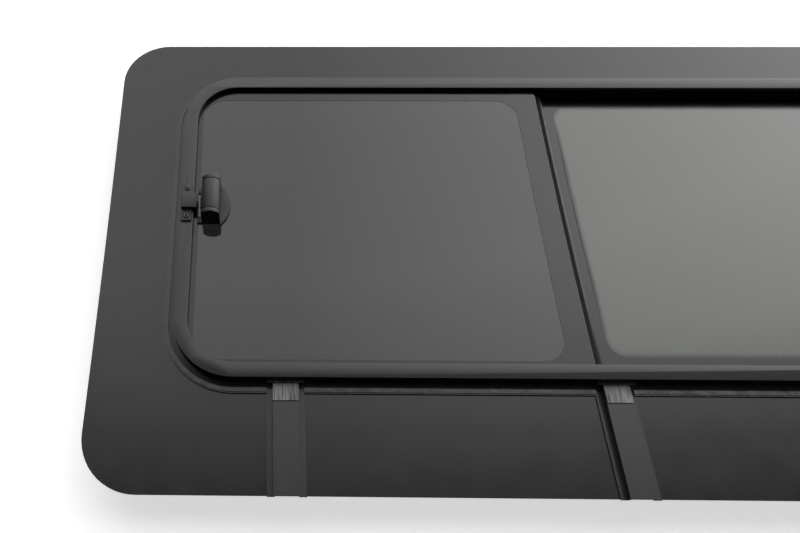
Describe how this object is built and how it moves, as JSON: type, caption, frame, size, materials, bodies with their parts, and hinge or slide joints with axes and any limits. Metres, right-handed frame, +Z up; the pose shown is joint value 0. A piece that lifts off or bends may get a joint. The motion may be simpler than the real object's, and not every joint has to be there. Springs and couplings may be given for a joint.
{
  "type": "van sliding side window",
  "caption": "Bent glass side window for a van with a bonded slide track, a latched sash that slides behind the fixed half, and drain channels to the lower edge.",
  "frame": {"origin": "middle of the outer pane on its inner face, the face that is bonded to the van", "axes": "+X along the window from the sash side to the fixed side, +Z up, -Y into the van"},
  "size_m": [1.175, 0.053, 0.6174],
  "materials": {
    "tinted_glass": "polished",
    "sash_glass": "polished",
    "ceramic_print": "gloss",
    "coated_aluminium": "satin black coating",
    "sealant": "glossy",
    "pile": "matte",
    "latch_plastic": "fine grain",
    "steel": "zinc plated",
    "drain_plastic": "satin",
    "clip_metal": "brushed"
  },
  "bodies": {
    "frame": {"outer_pane": "tinted_glass", "printed_border": "ceramic_print", "track_frame": "coated_aluminium", "sealant_bead": "sealant", "post": "coated_aluminium", "post_pile": "pile", "keeper": "latch_plastic", "keeper_screw_upper": "steel", "keeper_screw_lower": "steel", "drain_left": "drain_plastic", "drain_clip_left": "clip_metal", "drain_centre": "drain_plastic", "drain_clip_centre": "clip_metal", "drain_right": "drain_plastic", "drain_clip_right": "clip_metal"},
    "sash": {"sash_pane": "sash_glass", "sash_band": "ceramic_print", "latch_base": "latch_plastic", "latch_pin": "steel"},
    "lever": {"latch_lever": "latch_plastic"}
  },
  "joints": [
    {"name": "sash_slide", "type": "slide", "parent": "frame", "child": "sash", "axis": [1, 0, 0], "range_m": [0, 0.43]},
    {"name": "lever_tip", "type": "hinge", "parent": "sash", "child": "lever", "pos_m": [-0.455, -0.03, 0.0362], "axis": [0, 0, 1], "range_deg": [0, 15], "stiffness_Nm_per_rad": 0.4}
  ]
}
